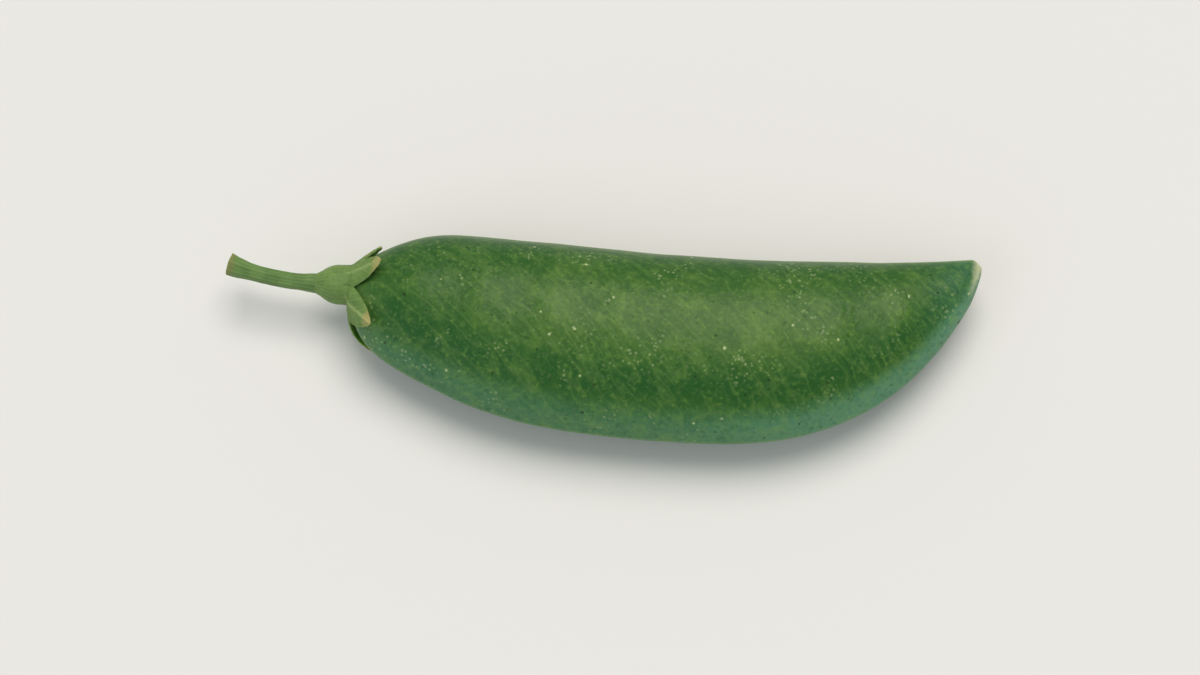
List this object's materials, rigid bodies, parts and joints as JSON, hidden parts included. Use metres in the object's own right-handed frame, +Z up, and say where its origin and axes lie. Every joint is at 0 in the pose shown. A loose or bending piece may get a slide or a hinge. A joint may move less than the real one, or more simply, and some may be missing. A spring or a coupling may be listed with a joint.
{
  "type": "snow pea pod",
  "caption": "Whole plump edible pea pod lying on its side, with a straight seam, a rounded belly seam, a blunt beak, and the calyx and short stalk it was picked with.",
  "frame": {"origin": "bottom centre of the box around the pod, calyx and stalk, on the surface the pod lies on", "axes": "+X from the stalk to the beak, +Y towards the straight seam, +Z up through the pod's thickness"},
  "size_m": [0.0868, 0.0236, 0.0124],
  "materials": {
    "pod_skin": "fresh pea pod skin: smooth, waxy, satin mid green with fine pale specks",
    "calyx_green": "thin matte leaf tissue, light green with fine veins and dry tips",
    "stem_green": "matte green stalk with fine lengthwise ribs and a paler cut end"
  },
  "bodies": {
    "root": {"pod": "pod_skin", "calyx": "calyx_green", "stem": "stem_green"}
  },
  "joints": []
}
